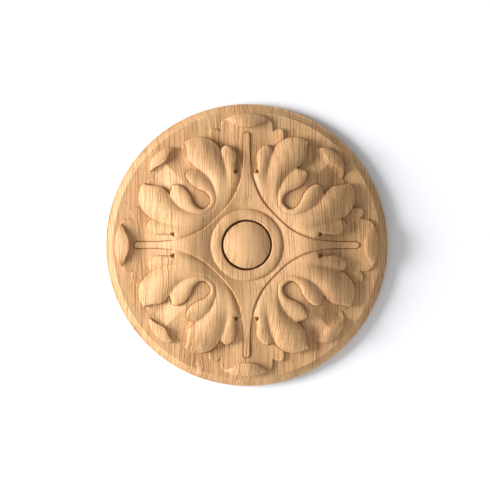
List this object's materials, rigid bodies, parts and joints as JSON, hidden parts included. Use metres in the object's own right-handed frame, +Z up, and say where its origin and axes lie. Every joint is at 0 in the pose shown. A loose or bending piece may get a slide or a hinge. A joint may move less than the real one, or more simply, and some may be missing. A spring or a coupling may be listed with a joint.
{
  "type": "carved wooden rosette",
  "caption": "Round carved wooden rosette with acanthus leaves on the diagonals, a ring moulding and a domed button, flat at the back for fixing to a wall or to furniture.",
  "frame": {"origin": "centre of the flat back, on the surface that the rosette is fixed to", "axes": "+Z up the wall and along the grain, -Y out of the wall towards the viewer, +X to the viewer's right"},
  "size_m": [0.15, 0.022, 0.15],
  "materials": {
    "wood": "bare pale hardwood, sanded, with fine upright grain"
  },
  "bodies": {
    "root": {"rosette": "wood"}
  },
  "joints": []
}
